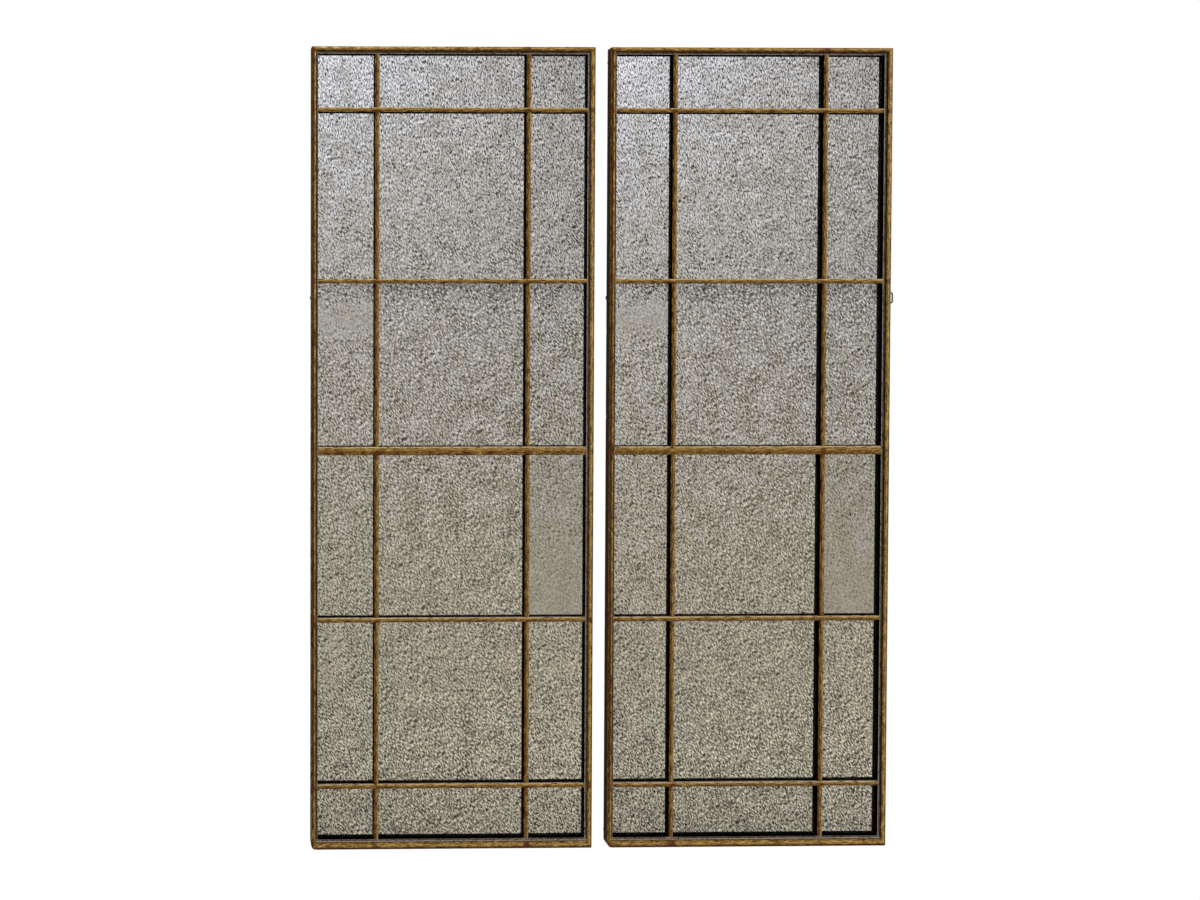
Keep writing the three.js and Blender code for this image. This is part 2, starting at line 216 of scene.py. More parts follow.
def moved(tree, vector, turn=(0, 0, 0), size=(1, 1, 1)):
    inputs = {"Vector": vector, "Rotation": turn, "Scale": size}
    return addNode(tree, "ShaderNodeMapping", None, inputs).outputs[0]


def grain(tree, vector, scale, detail, rough, flat=False):
    settings = {"noise_dimensions": "2D" if flat else "3D"}
    inputs = {"Vector": vector, "Scale": scale, "Detail": detail, "Roughness": rough}
    return addNode(tree, "ShaderNodeTexNoise", settings, inputs).outputs[0]


def spread(tree, value, low, high, toLow=0.0, toHigh=1.0, smooth=True):
    settings = {"interpolation_type": "SMOOTHSTEP" if smooth else "LINEAR"}
    inputs = {"Value": value, "From Min": low, "From Max": high, "To Min": toLow, "To Max": toHigh}
    return addNode(tree, "ShaderNodeMapRange", settings, inputs).outputs[0]


def between(tree, factor, first, second):
    inputs = {0: factor, 2: first, 3: second}
    return addNode(tree, "ShaderNodeMix", {"data_type": "FLOAT"}, inputs).outputs[0]


def blend(tree, factor, first, second):
    made = addNode(tree, "ShaderNodeMix", {"data_type": "RGBA"})
    for index, value in ((0, factor), (6, first), (7, second)):
        if isinstance(value, bpy.types.NodeSocket):
            tree.links.new(value, made.inputs[index])
        else:
            made.inputs[index].default_value = value if index == 0 else (*value, 1)
    return made.outputs[2]


def shade(tree, value, low, high, first, second):
    # from the first colour to the second while the value goes from low to high
    return blend(tree, spread(tree, value, low, high), first, second)


def tone(red, green, blue):
    # an sRGB colour, 0 to 255, as the linear one that Blender works in
    share = np.array([red, green, blue]) / 255
    linear = np.where(share <= 0.04045, share / 12.92, ((share + 0.055) / 1.055) ** 2.4)
    return tuple(float(part) for part in linear)


# Aged gilding over red-brown ground, on the frame and on the bars.
gilding = {
    "bright": tone(178, 146, 84),
    "gold": tone(120, 90, 44),
    "dull": tone(80, 58, 29),
    "paleEdge": tone(204, 182, 134),
    "ground": tone(86, 51, 27),
    # dark streaks, and painted shade on the step wall and the low edges of the bars
    "streakAndShade": tone(40, 27, 16),
    "ledge": tone(108, 94, 74),
    # brown of the ledge where the shadow of its bead is painted
    "ledgeInShadow": tone(86, 66, 46),
    "ledgeDark": tone(56, 44, 34),
    # pale bare wood on worn edges, and painted light on lit faces
    "wornAndLitWood": tone(180, 169, 156),
    # black paint, made as dark as shade
    "blackPaintAndShade": tone(6, 5, 5),
    "outerSide": tone(86, 68, 48),
    "backDark": tone(34, 27, 21),
    "backPale": tone(66, 53, 41),
    "roughness": (0.60, 0.30),  # dull and bright parts
    "metal": 0.8,
    "paintFrom": (12.6 * mm, 13.2 * mm),  # depth where the inner wall's black paint and painted shade begin
    "backFrom": (42.4 * mm, 43.2 * mm),  # depth where the bare wood of the back begins
}


def giltSurface(tree, along, across, depth, joint, paintedHighlight, bareGroundAndShade):
    # streaks along the member, flecks, patches where the ground shows, a painted highlight line and a line
    # of bare ground with painted shade
    streaky = addNode(tree, "ShaderNodeCombineXYZ", None,
                      {0: times(tree, along, 0.16), 1: across, 2: depth}).outputs[0]
    plain = addNode(tree, "ShaderNodeCombineXYZ", None, {0: along, 1: across, 2: depth}).outputs[0]
    streaks = grain(tree, streaky, 400, 2.5, 0.6)
    flecks = grain(tree, plain, 300, 3.0, 0.62)
    patches = grain(tree, plain, 38, 2.0, 0.5)
    wide = grain(tree, plain, 9, 1.0, 0.5)
    mixed = timesPlus(tree, streaks, 0.55, times(tree, flecks, 0.45))
    shine = timesPlus(tree, paintedHighlight, 0.10, timesPlus(tree, wide, 0.12, mixed))
    leaf = shade(tree, shine, 0.48, 0.58, gilding["dull"], gilding["gold"])
    leaf = shade(tree, shine, 0.58, 0.72, leaf, gilding["bright"])
    worn = timesPlus(tree, patches, 0.6, times(tree, flecks, 0.4))
    worn = timesPlus(tree, joint, 0.12, worn)
    worn = timesPlus(tree, bareGroundAndShade, 0.22, worn)
    leaf = shade(tree, worn, 0.56, 0.68, leaf, gilding["ground"])
    line = timesPlus(tree, flecks, 0.8, calc(tree, "SUBTRACT", bareGroundAndShade, 0.4))
    leaf = blend(tree, spread(tree, line, 0.40, 0.75, 0.0, 0.85), leaf, gilding["ground"])
    dark = timesPlus(tree, bareGroundAndShade, -0.05, timesPlus(tree, paintedHighlight, 0.06, mixed))
    leaf = shade(tree, dark, 0.46, 0.39, leaf, gilding["streakAndShade"])
    return leaf, mixed, streaks, flecks


def finishGilding(tree, colour, level, ends, mixed, distance, strength):
    # metal down to the depth where the leaf ends, and smoother where it is bright
    metal = times(tree, spread(tree, level, ends[1] * mm, ends[0] * mm), gilding["metal"])
    rough = spread(tree, mixed, 0.35, 0.68, *gilding["roughness"])
    finishMaterial(tree, {"Base Color": colour, "Metallic": metal, "Roughness": rough,
                          "Specular IOR Level": 0.0}, mixed, distance, strength)


def makeFrameGilding():
    material, tree = newMaterial("giltFrame")
    along, across, depth = split(tree, readPoints(tree, "moulding"))
    ledge, joint, edge = split(tree, readPoints(tree, "wearAndPaintedLight"))
    paintedHighlight, bareGroundAndShade, inside = split(tree, readPoints(tree, "lines"))
    leaf, mixed, streaks, flecks = giltSurface(tree, along, across, depth, joint, paintedHighlight, bareGroundAndShade)
    level = calc(tree, "ADD", depth, timesPlus(tree, streaks, 2.4 * mm, -1.2 * mm))  # ragged
    # the ledge: pewter grey, brown on the left stile as the painted shadow of its bead
    pewter = shade(tree, ledge, 0.55, 0.95, gilding["ledgeInShadow"], gilding["ledge"])
    pewter = shade(tree, mixed, 0.42, 0.58, gilding["ledgeDark"], pewter)
    # pale inner edge of the ledge: wear and painted highlight
    pewter = blend(tree, times(tree, edge, spread(tree, flecks, 0.36, 0.5)),
                   pewter, gilding["wornAndLitWood"])
    # deeper than the crown it goes dark; on the bead's inner step wall this stays: dark ground and painted
    # shade
    colour = shade(tree, level, 3.2 * mm, 4.6 * mm, leaf, gilding["streakAndShade"])
    colour = shade(tree, ledge, 0.1, 0.45, colour, pewter)
    # the inner wall: black paint, made as dark as shade
    dark = times(tree, inside, spread(tree, depth, *gilding["paintFrom"]))
    colour = blend(tree, dark, colour, gilding["blackPaintAndShade"])
    outside = times(tree, spread(tree, level, 2.4 * mm, 4.0 * mm),
                    spread(tree, across, 1.2 * mm, 0.7 * mm))
    brown = shade(tree, mixed, 0.42, 0.58, gilding["streakAndShade"], gilding["outerSide"])
    colour = blend(tree, outside, colour, brown)
    bare = shade(tree, streaks, 0.36, 0.64, gilding["backDark"], gilding["backPale"])
    colour = blend(tree, spread(tree, depth, *gilding["backFrom"]), colour, bare)
    finishGilding(tree, colour, level, (3.0, 4.5), mixed, 0.00025, 0.6)
    return material


def makeBarGilding():
    material, tree = newMaterial("giltBars")
    along, across, depth = split(tree, readPoints(tree, "moulding"))
    upper, joint, line = split(tree, readPoints(tree, "wearAndPaintedLight"))
    paintedHighlight, bareGroundAndShade, low = split(tree, readPoints(tree, "lines"))
    leaf, mixed, streaks, flecks = giltSurface(tree, along, across, depth, joint, paintedHighlight, bareGroundAndShade)
    # pale upper edge of the bars: wear and painted highlight
    edging = times(tree, line, spread(tree, streaks, 0.36, 0.54))
    leaf = blend(tree, edging, leaf, gilding["paleEdge"])
    # painted shade along the lower or left edge
    lowEdgeShade = times(tree, low, spread(tree, streaks, 0.60, 0.40))
    leaf = blend(tree, lowEdgeShade, leaf, gilding["streakAndShade"])
    level = calc(tree, "ADD", depth, timesPlus(tree, flecks, 1.6 * mm, -0.8 * mm))  # ragged
    # painted light: the front of each crossbar's top face is pale, as if lit from above
    pale = shade(tree, mixed, 0.40, 0.56, gilding["ledgeDark"], gilding["wornAndLitWood"])
    top = times(tree, spread(tree, level, 0.2 * mm, 0.8 * mm), upper)
    colour = blend(tree, top, leaf, pale)
    # the sides: black paint, made as dark as shade
    side = spread(tree, timesPlus(tree, upper, -7.0 * mm, level), 1.0 * mm, 1.8 * mm)
    colour = blend(tree, side, colour, gilding["blackPaintAndShade"])
    finishGilding(tree, colour, level, (0.6, 1.4), mixed, 0.0002, 0.5)
    return material


# Antiqued mirror: silvering broken up by fine dark and pale specks that lean like falling rain.
silvering = {
    "cool": tone(190, 190, 191),
    "pale": tone(190, 185, 177),
    "warm": tone(190, 182, 161),
    "blueGrey": tone(168, 172, 192),
    "seaGreen": tone(150, 168, 170),
    "contrast": 1.62,  # how far specks depart from the middle tone
    "footContrast": 1.5,  # times that, at the foot of a panel
    "headContrast": 0.80,
    "skew": 0.34,  # dark specks reach further than pale ones
    "lean": (12, 34),  # degrees off upright, at the head and at the foot of a panel
    "stretch": 0.40,
    "wander": 0.006,  # how far the grain is pushed about
    "roughness": (0.03, 0.11),
}


def leaningGrain(tree, vector, degrees, scale):
    turned = moved(tree, vector, turn=(0, 0, -np.radians(degrees)))
    return grain(tree, moved(tree, turned, size=(1, silvering["stretch"], 1)), scale, 2.2, 0.55, True)


def makeSpecks(tree, place, up, dense):
    # two leaning grains, one for the head and one for the foot, a finer one, and drifts and clouds
    wander = addNode(tree, "ShaderNodeTexNoise", {"noise_dimensions": "2D"},
                     {"Vector": place, "Scale": 60.0, "Detail": 2.0}).outputs["Color"]
    reach = (silvering["wander"], silvering["wander"], 0.0)
    shifted = addNode(tree, "ShaderNodeVectorMath", {"operation": "MULTIPLY_ADD"},
                      {0: wander, 1: reach, 2: place}).outputs[0]
    head = leaningGrain(tree, shifted, silvering["lean"][0], 375)
    foot = leaningGrain(tree, shifted, silvering["lean"][1], 365)
    fine = grain(tree, shifted, 620, 1.0, 0.5, True)
    clouds = grain(tree, place, 22, 2.0, 0.5, True)
    drift = grain(tree, place, 75, 2.0, 0.5, True)
    height = spread(tree, timesPlus(tree, clouds, 0.6, up), 0.95, 1.25)
    specks = between(tree, height, foot, head)
    specks = timesPlus(tree, fine, 0.20, times(tree, specks, 0.82))
    specks = timesPlus(tree, drift, 0.12, specks)
    specks = timesPlus(tree, clouds, 0.10, specks)
    return calc(tree, "SUBTRACT", specks, times(tree, dense, 0.05)), clouds


def makeSilvering():
    material, tree = newMaterial("antiqueMirror")
    place = readPoints(tree, "place")  # across and up, each pane with its own start
    up, across = split(tree, readPoints(tree, "height"))[:2]
    # light is painted light and shade on the silvering; calm and dense mark fewer and crowded specks
    light, calm, dense = split(tree, readPoints(tree, "paintedLightAndSpecks"))
    specks, clouds = makeSpecks(tree, place, up, dense)
    level = spread(tree, specks, 0.40, 0.84, -1.0, 1.0, False)
    level = between(tree, calm, level, 0.0)
    bent = timesPlus(tree, times(tree, level, level), -silvering["skew"], level)
    contrast = silvering["contrast"]
    depth = spread(tree, up, 0.25, 0.05, contrast, contrast * silvering["footContrast"])
    depth = times(tree, depth, spread(tree, up, 0.84, 0.96, 1.0, silvering["headContrast"]))
    corner = timesPlus(tree, across, times(tree, up, 0.24), 0.93)
    depth = times(tree, depth, corner)
    strength = calc(tree, "MAXIMUM", timesPlus(tree, bent, depth, 1.0), 0.05)
    # painted light and shade: the silvering brightens towards the top left and darkens at the foot
    strength = times(tree, strength, times(tree, light, 0.95))
    silver = blend(tree, spread(tree, timesPlus(tree, clouds, 0.5, up), 0.55, 0.95),
                   silvering["warm"], silvering["pale"])
    coolness = timesPlus(tree, across, -0.35, timesPlus(tree, clouds, 0.4, up))
    silver = shade(tree, coolness, 0.84, 1.18, silver, silvering["cool"])
    hollow = spread(tree, level, 0.2, -0.5)
    high = spread(tree, timesPlus(tree, clouds, 0.6, up), 0.95, 1.3)
    silver = blend(tree, times(tree, high, hollow), silver, silvering["blueGrey"])
    low = times(tree, spread(tree, up, 0.2, 0.12), hollow)
    green = times(tree, spread(tree, clouds, 0.60, 0.68), low)
    silver = blend(tree, green, silver, silvering["seaGreen"])
    factor = addNode(tree, "ShaderNodeVectorMath", {"operation": "SCALE"}, {0: silver, 3: strength})
    rough = spread(tree, level, -1.0, 0.4, silvering["roughness"][1], silvering["roughness"][0], False)
    finishMaterial(tree, {"Base Color": factor.outputs[0], "Metallic": 0.96, "Roughness": rough,
                          "Coat Weight": 0.25, "Coat Roughness": 0.03, "Coat IOR": 1.5},
                   level, 0.00003, 0.2)
    return material


# Hardboard with its screen side out, lacquered and zinc-plated steel, and rubber.
backFinish = {
    "screenPitch": 0.0017,  # metres
    "boardDark": tone(62, 45, 32),
    "boardPale": tone(104, 80, 58),
    "boardStain": tone(52, 39, 30),
    "lacquer": tone(20, 20, 22),
    "lacquerWorn": tone(62, 57, 52),
    "zinc": tone(158, 160, 160),
    "zincDull": tone(112, 110, 104),
    "blued": tone(118, 118, 120),
    "rust": tone(112, 78, 54),
    "rubber": tone(28, 28, 28),
    "rubberDust": tone(56, 54, 52),
}


def makeBoard():
    # the screen leaves a grid of small pits: the product of two sine waves
    material, tree = newMaterial("backingBoardStain")
    spot = ownPlace(tree)
    axes = split(tree, spot)
    pace = 2 * np.pi / backFinish["screenPitch"]
    waves = [calc(tree, "SINE", times(tree, axes[axis], pace)) for axis in ("X", "Z")]
    pits = times(tree, *waves)
    fibres = grain(tree, moved(tree, spot, size=(1, 1, 0.35)), 900, 3.0, 0.7)
    chips = grain(tree, spot, 160, 3.0, 0.6)
    stain = grain(tree, spot, 5, 3.0, 0.6)
    height = timesPlus(tree, pits, 0.22, fibres)
    colour = shade(tree, height, 0.25, 0.75, backFinish["boardDark"], backFinish["boardPale"])
    colour = blend(tree, spread(tree, chips, 0.58, 0.7, 0.0, 0.6), colour, backFinish["boardDark"])
    colour = blend(tree, spread(tree, stain, 0.48, 0.72, 0.0, 0.75), colour, backFinish["boardStain"])
    finishMaterial(tree, {"Base Color": colour, "Roughness": spread(tree, fibres, 0, 1, 0.7, 0.92),
                          "Specular IOR Level": 0.2}, height, 0.00025, 0.5)
    return material


def makeSteel(name, base, worn, metal, roughness, wornFrom=0.60):
    # fine specks all over and drawn-out scuffs where the finish has gone
    material, tree = newMaterial(name)
    spot = ownPlace(tree)
    specks = grain(tree, spot, 1400, 3.0, 0.6)
    scuffs = grain(tree, moved(tree, spot, size=(1, 1, 0.2)), 700, 4.0, 0.7)
    blotches = grain(tree, spot, 210, 2.0, 0.5)
    marks = timesPlus(tree, blotches, 0.4, times(tree, scuffs, 0.6))
    colour = shade(tree, marks, wornFrom - 0.06, wornFrom + 0.06, base, worn)
    rough = spread(tree, timesPlus(tree, marks, 0.5, times(tree, specks, 0.5)),
                   0.35, 0.65, roughness[0], roughness[1])
    inputs = {"Base Color": colour, "Metallic": metal, "Roughness": rough}
    finishMaterial(tree, inputs, specks, 0.00005, 0.3)
    return material


def makeRubber():
    material, tree = newMaterial("bumperRubber")
    spot = ownPlace(tree)
    dust = grain(tree, spot, 900, 3.0, 0.6)
    colour = shade(tree, dust, 0.45, 0.7, backFinish["rubber"], backFinish["rubberDust"])
    finishMaterial(tree, {"Base Color": colour, "Roughness": spread(tree, dust, 0, 1, 0.7, 0.95),
                          "Specular IOR Level": 0.3}, dust, 0.00006, 0.4)
    return material


giltFrame = makeFrameGilding()
giltBars = makeBarGilding()
antiqueMirror = makeSilvering()
boardStain = makeBoard()
blackSteel = makeSteel("blackSteel", backFinish["lacquer"], backFinish["lacquerWorn"], 0.35, (0.32, 0.5))
zincSteel = makeSteel("zincSteel", backFinish["zinc"], backFinish["zincDull"], 0.95, (0.24, 0.42), 0.52)
pointSteel = makeSteel("pointSteel", backFinish["blued"], backFinish["rust"], 0.9, (0.3, 0.5), 0.58)
bumperRubber = makeRubber()
print("materials made")


# Small tools for the pieces.
def ripple(first, second, wave, seed, count=7):
    # hand-made unevenness: the mean of slanted sine waves of about one length, from -1 to 1
    draw = np.random.default_rng(seed)
    total = 0
    for _ in range(count):
        turn, phase = draw.uniform(0, 2 * np.pi, 2)
        pace = 2 * np.pi / (wave * draw.uniform(0.6, 1.7))
        total = total + np.sin(pace * (first * np.cos(turn) + second * np.sin(turn)) + phase)
    return total / count


def faceOut(mesh, merge=False):
    # all faces look out; doubles and the edges inside flat faces are merged away where asked
    shell = bmesh.new()
    shell.from_mesh(mesh)
    if merge:
        bmesh.ops.remove_doubles(shell, verts=shell.verts, dist=1e-6)
        bmesh.ops.dissolve_limit(shell, angle_limit=np.radians(1), verts=shell.verts, edges=shell.edges)
    bmesh.ops.recalc_face_normals(shell, faces=shell.faces)
    shell.to_mesh(mesh)
    shell.free()


def dress(name, node, mesh, material, sharp, body):
    # shaded smooth up to its sharp edges; it takes the place of the node, if there is one
    mesh.polygons.foreach_set("use_smooth", np.ones(len(mesh.polygons), bool))
    mesh.set_sharp_from_angle(angle=np.radians(sharp))
    mesh.materials.clear()
    mesh.materials.append(material)
    mesh.update()
    piece = addObject(name, mesh)
    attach(piece, body)
    if node:
        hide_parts(node)
    return piece


def newPiece(name, node, points, faces, values, material, sharp=32, body="root"):
    # points in metres; values are vectors for each point, by name
    mesh = bpy.data.meshes.new(name)
    mesh.from_pydata(np.asarray(points, float).reshape(-1, 3).tolist(), [], faces)
    faceOut(mesh)
    for key, vectors in values.items():
        mesh.attributes.new(key, "FLOAT_VECTOR", "POINT").data.foreach_set(
            "vector", np.asarray(vectors, np.float32).ravel())
    dress(name, node, mesh, material, sharp, body)


def stack(*parts):
    return np.stack(parts, -1)


def tubeFaces(rings, around):
    # quads between rings of points, with a flat cap on each end
    ring = np.arange(rings - 1)[:, None] * around
    here = np.arange(around)[None, :]
    after = (here + 1) % around
    quads = stack(ring + here, ring + after, ring + around + after, ring + around + here)
    caps = [list(range(around))[::-1], [(rings - 1) * around + point for point in range(around)]]
    return quads.reshape(-1, 4).tolist() + caps


def spanOf(node, axis):
    return [getattr(corner, axis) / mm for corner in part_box(node)]


def circle(count):
    return np.linspace(0, 2 * np.pi, count, endpoint=False)


def middleOf(node):
    low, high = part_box(node)
    return [(a + b) / 2 / mm for a, b in zip(low, high)]


def arc(centre, radius, start, end, count):
    angles = np.radians(np.linspace(start, end, count))
    return stack(centre[0] + radius * np.cos(angles), centre[1] + radius * np.sin(angles))


# The stepped moulding of the frame, in millimetres: inwards from the outer side, back from the crown.
moulding = {
    "bead": 10.0,
    "footBead": 15.5,
    "crownRise": 2.5,
    "crownPoints": 21,
    "step": 12.0,
    "cove": 1.0,
    "ledge": 5.0,
    "ledgeEase": 0.6,
    "rebate": 5.0,
    "rebateFront": 32.0,
    "depth": 44.0,
    "backEase": 1.0,
    "cornerRound": 2.5,
    "wornRound": 12.0,
    "mitreGap": 0.08,
    "nearStations": (0, 0.7, 1.4, 2.2, 3, 4, 5, 6.5, 8, 10, 12.5, 16),  # from each mitre
    "evenFrom": 20.0,  # from here the stations are one step apart
    "stationStep": 6.0,
    "unevenness": 0.12,  # depth of the hand-made waves
    "waveLengths": (46, 11),  # long and short
    "dents": 16,  # on each member
    "dentDepth": 0.5,
    "dentReach": (1.5, 4.5),  # along the member
    "dentWidth": 1.6,
    "dentMargin": 30.0,  # from the ends
    "dentPlaces": (0.0, 0.25, 0.9),  # shares of the bead's width
    "lines": {  # shares of the bead's width: middle and half width of the painted highlight line and of the line of bare ground with painted shade
        "left": ((0.82, 0.11), (0.34, 0.27)),
        "right": ((0.55, 0.22), (0.08, 0.15)),
        "head": ((0.36, 0.20), (0.90, 0.10)),
        "foot": ((0.60, 0.20), (0.14, 0.16)),
    },
    "innerLine": {"left": 0.15, "right": 0.9, "head": 0.8, "foot": 0.2},  # pale line on the ledge's inner edge: wear and painted highlight
}


def crownHeight(inward, bead):
    # depth of the bead's rounded front below its crown: a circle's arc over the bead's width
    radius = ((bead / 2) ** 2 + moulding["crownRise"] ** 2) / (2 * moulding["crownRise"])
    inside = np.clip(inward, 0, bead) - bead / 2
    return radius - np.sqrt(radius ** 2 - inside ** 2)


def mouldingSection(bead):
    # closed loop of (inward, depth) from the back of the outer side round the front to the rebate
    inner, step, deep = bead + moulding["ledge"], moulding["step"], moulding["depth"]
    cove, ease, backEase = moulding["cove"], moulding["ledgeEase"], moulding["backEase"]
    glassLine, rebate = moulding["rebateFront"], inner - moulding["rebate"]
    crownX = np.linspace(0, bead, moulding["crownPoints"])
    return np.concatenate([
        stack(crownX, crownHeight(crownX, bead)),
        [(bead, 4.5)],
        arc((bead + cove, step - cove), cove, 180, 90, 6),
        [(bead + 2.2, step), (inner - 1.6, step)],
        arc((inner - ease, step + ease), ease, -90, 0, 6),
        [(inner, glassLine), (rebate, glassLine), (rebate, deep), (backEase, deep),
         (0, deep - backEase), (0, 24), (0, 10), (0, 5), (0, 3.3)],
    ])


def memberPoints(bead, startBead, endBead, length, startRound, endRound, seed):
    # the section carried along one side of the frame; each point of it runs from mitre to mitre
    section = mouldingSection(bead)
    inward, depth = section[:, 0], section[:, 1]
    onCrown = np.arange(len(section)) < moulding["crownPoints"]
    gap = moulding["mitreGap"]

    def mitre(x, otherBead):
        return np.where(x < bead, x * otherBead / bead, otherBead + x - bead)

    def meeting(radius, otherBead):
        # where the rounded corner crosses the mitre, by halving the span
        low, high = 0.0, radius
        for _ in range(40):
            x = (low + high) / 2
            z = float(mitre(np.array(x), otherBead))
            outside = (radius - x) ** 2 + (radius - min(z, radius)) ** 2 > radius ** 2
            low, high = (x, high) if outside else (low, x)
        return low

    starts = mitre(np.maximum(inward, meeting(startRound, startBead)), startBead) + gap
    ends = length - mitre(np.maximum(inward, meeting(endRound, endBead)), endBead) - gap
    near = np.array(moulding["nearStations"]) / length
    evenFrom = moulding["evenFrom"]
    middle = np.arange(evenFrom, length - evenFrom, moulding["stationStep"]) / length
    share = np.concatenate([near, middle, 1 - near[::-1]])[:, None]
    along = starts + (ends - starts) * share

    def rounded(distance, radius):
        # how far the corner's quarter circle cuts in, this far from the end
        inside = np.clip(radius - distance, 0, radius)
        return radius - np.sqrt(radius ** 2 - inside ** 2)

    x = np.maximum(inward, np.maximum(rounded(along, startRound), rounded(length - along, endRound)))
    y = np.where(onCrown, crownHeight(x, bead), depth + 0 * x)
    soft = np.minimum(1, np.minimum(along - starts, ends - along) / 12 + 0.15)
    # long and short waves and bell-shaped dents press the gilding back
    longWave, shortWave = moulding["waveLengths"]
    wave = 0.5 + 0.5 * ripple(along, 3 * inward + 0 * along, longWave, seed)
    fine = 0.5 + 0.5 * ripple(along, 4 * inward + 0 * along, shortWave, seed + 1)
    lift = moulding["unevenness"] * (0.6 * wave + 0.4 * fine) * soft
    draw = np.random.default_rng(seed + 2)
    margin, width = moulding["dentMargin"], moulding["dentWidth"]
    for _ in range(moulding["dents"]):
        spot, side = draw.uniform(margin, length - margin), draw.choice(moulding["dentPlaces"]) * bead
        size, hollow = draw.uniform(*moulding["dentReach"]), draw.uniform(0.3, 1) * moulding["dentDepth"]
        lift = lift + hollow * np.exp(-((along - spot) / size) ** 2 - ((inward - side) / width) ** 2)
    y = y + np.where(onCrown, lift, 0)
    x = x + np.where((inward == 0) & ~onCrown, lift, 0)
    return section, x, y, along


def makeMember(node, line, bead, startBead, endBead, length, startRound, endRound, seed, joints, place):
    section, x, y, along = memberPoints(bead, startBead, endBead, length, startRound, endRound, seed)
    inward, depth = section[:, 0] + 0 * x, section[:, 1] + 0 * x
    step, inner = moulding["step"], bead + moulding["ledge"]
    onLedge = (inward > bead + 0.3) & (depth < step + 0.4)
    inside = inward >= inner - 0.01
    # across the bead: a painted highlight line, and a line of bare ground with painted shade
    paintedHighlight, bareGroundAndShade = [np.exp(-((inward / bead - middle) / half) ** 2) * (depth < 3)
                     for middle, half in moulding["lines"][line]]
    if line == "left":
        bareGroundAndShade = bareGroundAndShade * (0.45 + 0.55 * np.clip((along - 60) / 120, 0, 1))  # less bare ground and painted shade near the foot
    joint = sum(np.exp(-((along - spot) / 9) ** 2) for spot in joints)
    toMitre = np.minimum(along - along[0], along[-1] - along)
    chips = np.exp(-(toMitre / 1.2) ** 2) + 0.35 * np.exp(-toMitre / 14)
    innerEdge = np.clip((inward - inner + 1.7) / 0.4, 0, 1) * (depth < step + 1)
    # the left stile's ledge is painted browner, as in the shadow of its bead
    ledge = onLedge * (0.6 if line == "left" else 1.0)
    if line == "foot":
        onStep = (np.abs(inward - bead - 0.3) < 0.8) & (depth > 10.5) & (depth < step + 0.1)
        ledge, chips = np.maximum(ledge, onStep), chips + 0.8 * onStep
    # chipped near the mitres; the pale line on the ledge's inner edge is wear and painted highlight
    worn = chips + (joint + moulding["innerLine"][line]) * innerEdge
    values = {
        "moulding": stack(along * mm + 7 * (seed % 13), x * mm, depth * mm),
        "wearAndPaintedLight": stack(ledge, np.clip(joint, 0, 1), np.clip(worn, 0, 1)),
        "lines": stack(paintedHighlight, bareGroundAndShade, inside),
    }
    newPiece(node + "_gilt", node, place(x, y, along) * mm, tubeFaces(*x.shape), values,
             giltFrame)


def panelFrame(panel):
    # its left and right sides, its foot and its head
    left, right = spanOf(f"{panel}_stile_left", "x")[0], spanOf(f"{panel}_stile_right", "x")[1]
    return left, right, spanOf(f"{panel}_rail_bottom", "z")[0], spanOf(f"{panel}_rail_top", "z")[1]


def makeFrame(panel, seed):
    left, right, foot, head = panelFrame(panel)
    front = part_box(f"{panel}_stile_left")[0].y / mm
    wide, tall = right - left, head - foot
    bead, footBead = moulding["bead"], moulding["footBead"]
    levels = [middleOf(f"{panel}_crossbar_{number}")[2] - foot for number in range(1, 6)]
    uprights = [middleOf(f"{panel}_mullion_{side}")[0] - left for side in ("left", "right")]
    square, worn = moulding["cornerRound"], moulding["wornRound"]
    members = [
        ("stile_left", "left", bead, footBead, bead, tall, worn, levels,
         lambda x, y, t: stack(left + x, front + y, foot + t)),
        ("stile_right", "right", bead, footBead, bead, tall, square, levels,
         lambda x, y, t: stack(right - x, front + y, foot + t)),
        ("rail_top", "head", bead, bead, bead, wide, square, uprights,
         lambda x, y, t: stack(left + t, front + y, head - x)),
        ("rail_bottom", "foot", footBead, bead, bead, wide, worn, uprights,
         lambda x, y, t: stack(left + t, front + y, foot + x)),
    ]
    for index, (part, line, own, start, end, length, startRound, joints, place) in enumerate(members):
        makeMember(f"{panel}_{part}", line, own, start, end, length, startRound, square,
                   seed + 10 * index, joints + [0, length], place)


# The slim bars, halved into each other, in millimetres.
bars = {
    "ease": 1.0,  # rounding of the front edges
    "easePoints": 6,
    "lapGap": 0.05,
    "lap": 10.0,  # depth of a halving, half the bar
    "tenonSetback": 7.0,
    "tenonThickness": 6.0,
    "tenonShoulder": 1.5,
    "tenonLength": 4.0,
    "stationStep": 6.0,
    "unevenness": 0.08,
}


def barSection(width, depth):
    # closed loop of (across, depth) round the bar, its two front edges rounded
    half, ease, count = width / 2, bars["ease"], bars["easePoints"]
    leftEdge = arc((ease - half, ease), ease, 180, 270, count)
    rightEdge = arc((half - ease, ease), ease, 270, 360, count)
    front = [(x, 0) for x in np.linspace(ease - half, half - ease, 7)[1:-1]]
    return np.concatenate([leftEdge, front, rightEdge,
                           [(half, 3), (half, bars["lap"]), (half, depth), (-half, depth),
                            (-half, bars["lap"]), (-half, 3)]])


def barStations(start, end, breaks):
    # places along the bar, two of them at each break, where the section changes at once
    plain = np.arange(start, end, bars["stationStep"])
    spots = np.concatenate([[start, end], plain, np.repeat(breaks, 2)])
    return np.sort(spots)


